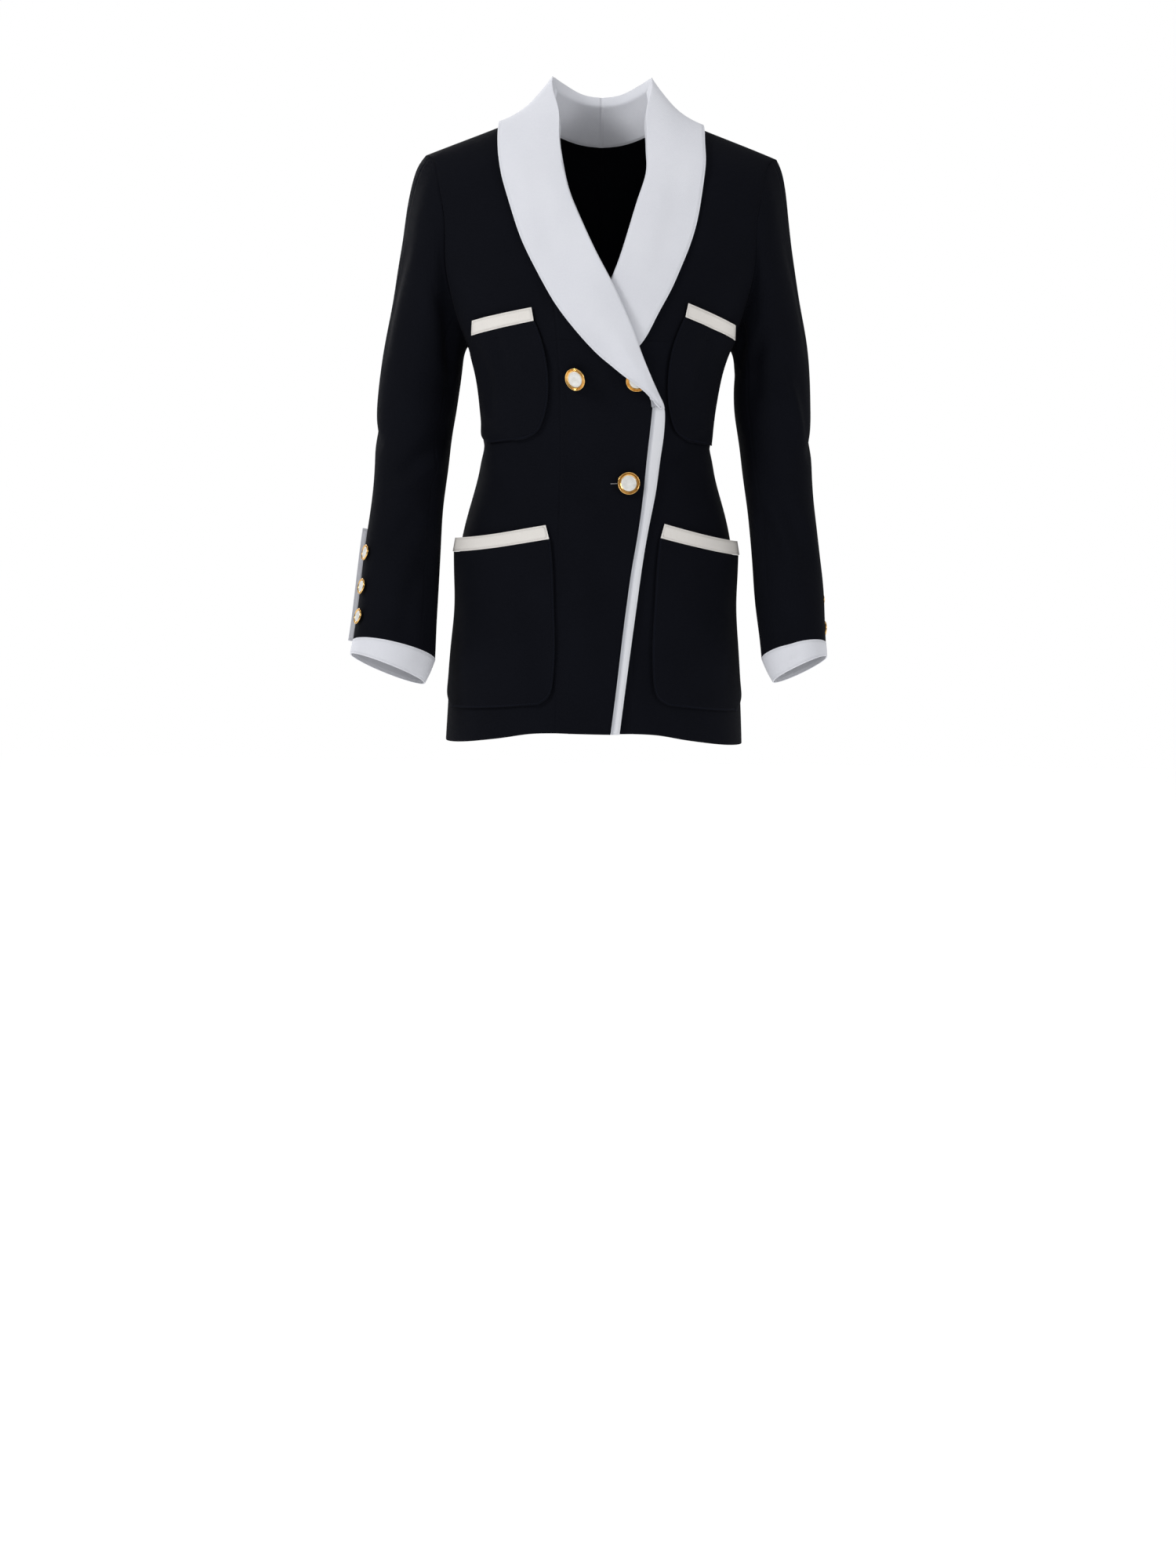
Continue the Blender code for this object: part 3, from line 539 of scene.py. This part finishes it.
def cloth_piece(node, finish):
    """One cut piece of cloth: a thin shell on the form of its solid."""
    work = outer_skin(node)
    mesh = bpy.data.meshes.new(node + "_cloth")
    work.to_mesh(mesh)
    work.free()
    # The solid's own shading would hide the creases.
    for stale in ("custom_normal", "sharp_edge"):
        if stale in mesh.attributes:
            mesh.attributes.remove(mesh.attributes[stale])
    piece = new_piece(node + "_cloth", mesh)
    mesh.materials.clear()
    mesh.materials.append(finish)
    if node in CUFFS:
        open_tube(piece)
    if node in BODY_CLOTH + SLEEVE_CLOTH + COLLARS:
        reach_out(piece, SEAM_REACH)
    if node == "collar_right":
        narrow_tip(piece)
    if node == "edge_band":
        tuck_under_collar(piece)
    width, length = on_pattern(piece)
    corners = border_corners(mesh)
    through_points(piece)
    sides = border_sides(mesh, corners)
    mark_borders(piece, sides)
    crease(piece)
    wall = piece.modifiers.new("Cloth wall", "SOLIDIFY")
    wall.thickness = CLOTH_THICKNESS
    wall.offset = -1
    apply_modifiers(piece)
    choose(piece)
    bpy.ops.object.shade_smooth_by_angle(angle=SMOOTH_BEND)
    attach(piece, "root")
    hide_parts(node)


def open_tube(piece):
    """Marks one line down a tube as a seam, so that it can be laid flat."""
    work = bmesh.new()
    work.from_mesh(piece.data)
    side = -1 if piece.name.endswith("right_cloth") else 1
    inmost = min(work.verts, key=lambda v: v.co.x * side)
    for edge in inmost.link_edges:
        here = edge.other_vert(inmost)
        if edge.is_boundary or abs((here.co - inmost.co).z) < 4 * MM:
            continue
        edge.seam = True
        for other in here.link_edges:
            if other is not edge and not other.is_boundary:
                way = (other.other_vert(here).co - here.co).normalized()
                if way.dot((here.co - inmost.co).normalized()) > 0.8:
                    other.seam = True
    work.to_mesh(piece.data)
    work.free()


def finish_nodes(name):
    """A new material, its node tree and its shader."""
    made = bpy.data.materials.new(name)
    made.use_nodes = True
    tree = made.node_tree
    return made, tree, tree.nodes["Principled BSDF"]


def add_node(tree, kind, **settings):
    """A node with its settings made, and its inputs linked or filled by name or place."""
    node = tree.nodes.new(kind)
    inputs = settings.pop("inputs", {})
    for key, value in settings.items():
        setattr(node, key, value)
    for key, value in inputs.items():
        if isinstance(value, bpy.types.NodeSocket):
            tree.links.new(value, node.inputs[key])
        else:
            node.inputs[key].default_value = value
    return node


def math_node(tree, operation, *values):
    inputs = dict(enumerate(values))
    return add_node(tree, "ShaderNodeMath", operation=operation, inputs=inputs).outputs[0]


def blend_color(tree, share, low, high, mode="MIX"):
    return add_node(tree, "ShaderNodeMix", data_type="RGBA", blend_type=mode,
                    inputs={0: share, 6: low, 7: high}).outputs[2]


def map_range(tree, value, low, high, to_low=0.0, to_high=1.0):
    inputs = {0: value, 1: low, 2: high, 3: to_low, 4: to_high}
    return add_node(tree, "ShaderNodeMapRange", inputs=inputs).outputs[0]


def noise_node(tree, place, scale, detail, rough=0.5):
    inputs = {"Vector": place, "Scale": scale, "Detail": detail, "Roughness": rough}
    return add_node(tree, "ShaderNodeTexNoise", inputs=inputs).outputs["Fac"]


def wave_node(tree, place, scale, distortion, detail_scale, **settings):
    inputs = {
        "Vector": place, "Scale": scale, "Distortion": distortion, "Detail": 2.0, "Detail Scale": detail_scale,
    }
    wave = add_node(tree, "ShaderNodeTexWave", wave_profile="SIN", inputs=inputs, **settings)
    return wave.outputs["Fac"]


def stored(tree, name):
    """A value that mark_borders has stored on the cloth's points."""
    return add_node(tree, "ShaderNodeAttribute", attribute_name=name).outputs["Fac"]


def off_middle(tree, value, middle):
    return math_node(tree, "ABSOLUTE", math_node(tree, "SUBTRACT", value, middle))


def bump(tree, shader, heights):
    """Bumps in a row, each (height, distance in metres, strength)."""
    last = None
    for height, distance, strength in heights:
        inputs = {"Height": height, "Distance": distance, "Strength": strength}
        if last is not None:
            inputs["Normal"] = last
        last = add_node(tree, "ShaderNodeBump", inputs=inputs).outputs[0]
    tree.links.new(last, shader.inputs["Normal"])


def woven(name, dark, light, thread, turn, rough, sheen, gloss, stitch_color, stitch_away, stitch_long):
    """Twill on the cut pattern: ribs, slubs, soft tone changes, rolled edges and a row of stitches."""
    made, tree, shader = finish_nodes(name)
    uv = add_node(tree, "ShaderNodeUVMap").outputs[0]
    place = add_node(tree, "ShaderNodeMapping", inputs={"Vector": uv, "Rotation": (0, 0, turn)}).outputs[0]
    ribs = wave_node(tree, place, WAVE_SCALE / thread, 1.2, 1.5)
    across = wave_node(tree, place, WAVE_SCALE / (thread * 0.6), 1.5, 2.0, bands_direction="Y")
    slub = noise_node(tree, uv, 420.0, 4.0, 0.65)
    cloud = noise_node(tree, uv, 14.0, 5.0, 0.55)
    weave = math_node(tree, "MULTIPLY_ADD", ribs, 0.65, math_node(tree, "MULTIPLY", across, 0.35))
    tone = math_node(tree, "MULTIPLY_ADD", weave, 0.45, math_node(tree, "MULTIPLY", cloud, 0.55))
    color = blend_color(tree, map_range(tree, tone, 0.25, 0.75), dark, light)
    fuzz = map_range(tree, slub, 0.35, 0.7, 0.0, 0.5)
    color = blend_color(tree, fuzz, color, light)
    rim, hem, run = stored(tree, "rim"), stored(tree, "hem"), stored(tree, "run")
    off_line = off_middle(tree, hem, stitch_away)
    in_line = map_range(tree, off_line, 0.0003, 0.0006, 1.0, 0.0)
    phase = math_node(tree, "FRACT", math_node(tree, "DIVIDE", run, stitch_long))
    gap = map_range(tree, off_middle(tree, phase, 0.5), 0.34, 0.42, 1.0, 0.0)
    stitch = math_node(tree, "MULTIPLY", in_line, gap)
    dent = map_range(tree, off_line, 0.0002, 0.0016, 0.0, 1.0)
    color = blend_color(tree, stitch, color, stitch_color)
    edge = map_range(tree, rim, 0.0, 0.0025)
    # The colour turns lighter towards every border, within 1.2 mm of it.
    lighter_at_rim = map_range(tree, rim, 0.0, 0.0012, 0.35, 0.0)
    color = blend_color(tree, lighter_at_rim, color, light)
    tree.links.new(color, shader.inputs["Base Color"])
    tree.links.new(map_range(tree, cloud, 0.3, 0.7, rough - 0.06, rough + 0.05), shader.inputs["Roughness"])
    shader.inputs["Sheen Weight"].default_value = sheen
    shader.inputs["Sheen Roughness"].default_value = 0.45
    shader.inputs["Specular IOR Level"].default_value = gloss
    bump(tree, shader, (
        (cloud, 0.0010, 0.35), (weave, 0.00016, 0.6), (slub, 0.00012, 0.5), (edge, 0.0010, 0.8),
        (dent, 0.0005, 0.7), (stitch, 0.0004, 0.8),
    ))
    return made


def ribbed_painted_shadow(made):
    """Adds painted shadow from the navy front's edge down one side of the edge band: a grey ribbed strip."""
    tree = made.node_tree
    shader = tree.nodes["Principled BSDF"]
    hem, run = stored(tree, "hem"), stored(tree, "run")
    slant = math_node(tree, "MULTIPLY_ADD", hem, 0.9, run)
    rib = math_node(tree, "FRACT", math_node(tree, "DIVIDE", slant, 0.0016))
    dark = map_range(tree, off_middle(tree, rib, 0.5), 0.15, 0.4)
    shadow_strip = map_range(tree, hem, 0.0024, 0.0030, 1.0, 0.0)
    share = math_node(tree, "MULTIPLY", shadow_strip, math_node(tree, "MULTIPLY_ADD", dark, 0.55, 0.25))
    before = shader.inputs["Base Color"].links[0].from_socket
    # The painted shadow's grey, broken by the ribs.
    color = blend_color(tree, share, before, (0.16, 0.17, 0.20, 1))
    tree.links.new(color, shader.inputs["Base Color"])
    return made


def polished_gold():
    made, tree, shader = finish_nodes("polished_gold")
    place = add_node(tree, "ShaderNodeTexCoord").outputs["Object"]
    cloud = noise_node(tree, place, 240.0, 4.0)
    fine = noise_node(tree, place, 1600.0, 2.0)
    color = blend_color(tree, map_range(tree, cloud, 0.3, 0.7), (0.55, 0.31, 0.09, 1), (0.78, 0.50, 0.18, 1))
    tree.links.new(color, shader.inputs["Base Color"])
    tree.links.new(map_range(tree, cloud, 0.3, 0.7, 0.14, 0.24), shader.inputs["Roughness"])
    shader.inputs["Metallic"].default_value = 1.0
    bump(tree, shader, ((fine, 0.00005, 0.25),))
    return made


def white_enamel():
    made, tree, shader = finish_nodes("white_enamel")
    place = add_node(tree, "ShaderNodeTexCoord").outputs["Object"]
    cloud = noise_node(tree, place, 180.0, 3.0)
    color = blend_color(tree, map_range(tree, cloud, 0.3, 0.7), (0.56, 0.555, 0.53, 1), (0.68, 0.68, 0.66, 1))
    tree.links.new(color, shader.inputs["Base Color"])
    tree.links.new(map_range(tree, cloud, 0.3, 0.7, 0.22, 0.34), shader.inputs["Roughness"])
    shader.inputs["Coat Weight"].default_value = 0.15
    bump(tree, shader, ((cloud, 0.0001, 0.2),))
    return made


NAVY_COTTON = woven(
    "navy_cotton_twill", (0.0022, 0.0025, 0.0041, 1), (0.0046, 0.0051, 0.0078, 1), thread=0.0007, turn=0.75,
    rough=0.80, sheen=0.006, gloss=0.025, stitch_color=(0.006, 0.007, 0.012, 1), stitch_away=0.0016,
    stitch_long=0.0026,
)
WHITE_COTTON = woven(
    "white_cotton_twill", (0.57, 0.58, 0.63, 1), (0.65, 0.66, 0.70, 1), thread=0.0011, turn=0.80, rough=0.84,
    sheen=0.04, gloss=0.2, stitch_color=(0.62, 0.63, 0.68, 1), stitch_away=0.0020, stitch_long=0.0028,
)
CREAM_COTTON = woven(
    "cream_cotton_band", (0.60, 0.57, 0.54, 1), (0.68, 0.66, 0.63, 1), thread=0.0011, turn=0.2, rough=0.84,
    sheen=0.04, gloss=0.2, stitch_color=(0.60, 0.57, 0.54, 1), stitch_away=0.0016, stitch_long=0.0028,
)
# The edge band's cloth, with its strip of painted shadow down one side.
BAND_COTTON = ribbed_painted_shadow(woven(
    "edge_band_cotton", (0.57, 0.58, 0.62, 1), (0.65, 0.66, 0.69, 1), thread=0.0009, turn=0.4, rough=0.82,
    sheen=0.04, gloss=0.2, stitch_color=(0.52, 0.53, 0.58, 1), stitch_away=0.0034, stitch_long=0.0028,
))
GREY_THREAD = woven(
    "grey_thread", (0.16, 0.16, 0.17, 1), (0.30, 0.30, 0.31, 1), thread=0.0004, turn=0.5, rough=0.7,
    sheen=0.05, gloss=0.2, stitch_color=(0.2, 0.2, 0.2, 1), stitch_away=0.1, stitch_long=0.1,
)
GOLD = polished_gold()
ENAMEL = white_enamel()

for node in BODY_CLOTH + SLEEVE_CLOTH + POCKETS:
    cloth_piece(node, NAVY_COTTON)
for node in COLLARS + CUFFS + VENT_STRIPS:
    cloth_piece(node, WHITE_COTTON)
for node in POCKET_BANDS:
    cloth_piece(node, CREAM_COTTON)
cloth_piece("edge_band", BAND_COTTON)


def turned(name, profile, segments, finish):
    """A turned piece: a circle is extruded and resized once for each (radius, height) in millimetres."""
    bpy.ops.object.select_all(action="DESELECT")
    radius, height = profile[0]
    bpy.ops.mesh.primitive_circle_add(vertices=segments, radius=radius * MM, location=(0, 0, height * MM))
    piece = bpy.context.object
    piece.name = piece.data.name = name
    bpy.ops.object.transform_apply(location=True)
    bpy.ops.object.mode_set(mode="EDIT")
    bpy.ops.mesh.select_all(action="SELECT")
    for (before, low), (after, high) in zip(profile, profile[1:]):
        rise = (0, 0, (high - low) * MM)
        bpy.ops.mesh.extrude_region_move(TRANSFORM_OT_translate={"value": rise})
        if after:
            share = after / before
            bpy.ops.transform.resize(value=(share, share, 1), center_override=(0, 0, high * MM))
        else:
            bpy.ops.mesh.merge(type="CENTER")
    bpy.ops.mesh.select_all(action="SELECT")
    bpy.ops.mesh.normals_make_consistent(inside=False)
    bpy.ops.object.mode_set(mode="OBJECT")
    piece.data.materials.append(finish)
    return piece


def flute(piece, radius, count):
    """Presses straight flutes into a dome, which run out from its middle like the slices of a pie."""
    choose(piece)
    for vertex in piece.data.vertices:
        away = math.hypot(vertex.co.x, vertex.co.y)
        turn = math.atan2(vertex.co.y, vertex.co.x) / (2 * math.pi) * count
        on_flute = abs(turn - round(turn)) < 0.2
        vertex.select = on_flute and 0.30 * radius < away < 0.96 * radius
    bpy.ops.object.mode_set(mode="EDIT")
    bpy.ops.mesh.select_mode(type="VERT")
    bpy.ops.transform.translate(value=(0, 0, -0.085 * radius))
    bpy.ops.object.mode_set(mode="OBJECT")


def button_models(radius):
    """The gold rim and the fluted white centre of a button that lies flat at the origin."""
    r = radius / MM
    rim = turned("rim_model", (
        (r * 0.30, 0.3), (r * 0.34, 1.3), (r * 0.80, 1.5), (r * 0.96, 2.0), (r, 2.7), (r * 0.99, 3.6),
        (r * 0.95, 4.1), (r * 0.91, 3.9), (r * 0.87, 2.8), (r * 0.82, 2.7), (r * 0.79, 3.6), (r * 0.76, 3.8),
        (r * 0.73, 3.2), (r * 0.4, 3.0), (0, 3.0),
    ), 48, GOLD)
    centre = turned("centre_model", (
        (r * 0.70, 3.05), (r * 0.72, 3.6), (r * 0.68, 4.2), (r * 0.57, 4.7), (r * 0.42, 5.0), (r * 0.24, 5.2),
        (r * 0.19, 5.0), (r * 0.15, 5.3), (r * 0.06, 5.5), (0, 5.5),
    ), 48, ENAMEL)
    flute(centre, radius * 0.72, 12)
    for part in (rim, centre):
        smooth = part.modifiers.new("Smooth turning", "SUBSURF")
        smooth.levels = smooth.render_levels = 1
        apply_modifiers(part)
        bpy.ops.object.shade_smooth_by_angle(angle=math.radians(40))
    return rim, centre


def node_middle(node):
    points = [vertex.co for vertex in frame["nodes"][node].data.vertices]
    low = [min(p[i] for p in points) for i in range(3)]
    high = [max(p[i] for p in points) for i in range(3)]
    return Vector([(a + b) / 2 for a, b in zip(low, high)]), points


def sew_button(name, models, tilt=0.0):
    """Sets copies of the button models where the CAD button is, facing as it does."""
    rim_middle, rim_points = node_middle(name + "_rim")
    centre_middle, _ = node_middle(name + "_centre")
    axis = (centre_middle - rim_middle).normalized()
    base = min((p - rim_middle).dot(axis) for p in rim_points)
    place = rim_middle + axis * (base - 0.3 * MM + abs(math.sin(math.radians(tilt))) * 7 * MM)
    turn = axis.to_track_quat("Z", "Y").to_matrix().to_4x4()
    lean = Matrix.Rotation(math.radians(tilt), 4, "Z")
    for model, part, slot in zip(models, ("_rim", "_centre"), ("gold_metal", "white_enamel")):
        piece = new_piece(name + part + "_finish", model.data.copy())
        piece.data.transform(Matrix.Translation(place) @ lean @ turn)
        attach(piece, "root")
        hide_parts(name + part)


def stitch_bar(name, points, half_width):
    """A short raised row of thread along a few points on the cloth, in millimetres."""
    path = bpy.data.curves.new(name, "CURVE")
    path.dimensions = "3D"
    path.bevel_depth = half_width * MM
    path.bevel_resolution = 3
    path.use_fill_caps = True
    line = path.splines.new("POLY")
    line.points.add(len(points) - 1)
    for spot, at in zip(line.points, points):
        spot.co = [c * MM for c in at] + [1]
    drawn = new_piece(name + "_path", path)
    bpy.context.view_layer.update()
    mesh = bpy.data.meshes.new_from_object(drawn.evaluated_get(bpy.context.evaluated_depsgraph_get()))
    bpy.data.objects.remove(drawn)
    piece = new_piece(name, mesh)
    mesh.materials.clear()
    mesh.materials.append(GREY_THREAD)
    choose(piece)
    bpy.ops.object.shade_smooth_by_angle(angle=SMOOTH_BEND)
    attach(piece, "root")


def on_front(x, z):
    """The place on the upper front's cloth at a distance across and a height, in millimetres."""
    cloth = bpy.data.objects["front_right_cloth"]
    found, spot, _, _ = cloth.ray_cast(Vector((x * MM, -1, z * MM)), Vector((0, 1, 0)))
    return [c / MM for c in spot]


front_models = button_models(FRONT_BUTTON_RADIUS)
sleeve_models = button_models(SLEEVE_BUTTON_RADIUS)
for number, tilt in enumerate(FRONT_BUTTON_TURNS, 1):
    sew_button("front_button_%d" % number, front_models, tilt)
for number in (1, 2, 3):
    for side in SIDES:
        sew_button("sleeve_button_%s_%d" % (side, number), sleeve_models)
for model in front_models + sleeve_models:
    bpy.data.objects.remove(model)
thread_points = [on_front(x, BUTTONHOLE_Z + (x - BUTTON_X) * BUTTONHOLE_SLOPE) for x in BUTTONHOLE_X]
stitch_bar("buttonhole_thread", thread_points, 0.4)


def studio_floor():
    """A pale flat floor."""
    made, tree, shader = finish_nodes("studio_white")
    place = add_node(tree, "ShaderNodeTexCoord").outputs["Object"]
    cloud = noise_node(tree, place, 3.0, 3.0)
    color = blend_color(tree, cloud, (0.86, 0.86, 0.87, 1), (0.90, 0.90, 0.90, 1))
    tree.links.new(color, shader.inputs["Base Color"])
    shader.inputs["Emission Color"].default_value = (1, 1, 1, 1)
    shader.inputs["Emission Strength"].default_value = 0.6
    shader.inputs["Roughness"].default_value = 0.9
    bpy.ops.object.select_all(action="DESELECT")
    bpy.ops.mesh.primitive_plane_add(size=12, location=(0, 0, FLOOR_Z))
    floor = bpy.context.object
    floor.name = "studio_floor"
    bpy.ops.object.transform_apply(location=True)
    floor.data.materials.append(made)


def soft_light(name, place, aim, size, power):
    data = bpy.data.lights.new(name, "AREA")
    data.shape = "RECTANGLE"
    data.size, data.size_y = size
    data.energy = power
    lamp = new_piece(name, data)
    lamp.location = place
    lamp.rotation_euler = (Vector(aim) - Vector(place)).to_track_quat("-Z", "Y").to_euler()


def studio():
    bpy.context.scene.view_settings.view_transform = "Standard"
    studio_floor()
    world = bpy.data.worlds.new("studio_world")
    world.use_nodes = True
    tree = world.node_tree
    back = tree.nodes["Background"]
    seen = add_node(tree, "ShaderNodeLightPath").outputs["Is Camera Ray"]
    back.inputs[0].default_value = (1, 1, 1, 1)
    tree.links.new(map_range(tree, seen, 0.0, 1.0, 0.43, 1.0), back.inputs[1])
    bpy.context.scene.world = world
    soft_light("key_light", (-2.2, -1.5, 1.2), (0, 0, -0.35), (0.6, 1.0), 49)
    soft_light("fill_light", (2.1, -1.5, 0.5), (0, 0, -0.4), (0.6, 1.0), 17)
    soft_light("top_light", (0, 0.2, 2.0), (0, 0, -0.3), (1.2, 0.8), 10)
    soft_light("back_light", (-1.4, 2.2, 0.9), (0, 0, -0.35), (0.9, 1.2), 28)
    data = bpy.data.cameras.new("photo_camera")
    data.lens = 50
    data.sensor_width = 36
    camera = new_piece("photo_camera", data)
    turn = Matrix.Rotation(math.pi / 2 - CAMERA_PITCH, 4, "X") @ Matrix.Rotation(CAMERA_ROLL, 4, "Z")
    camera.matrix_world = Matrix.Translation(CAMERA_PLACE) @ turn
    bpy.context.scene.camera = camera


studio()
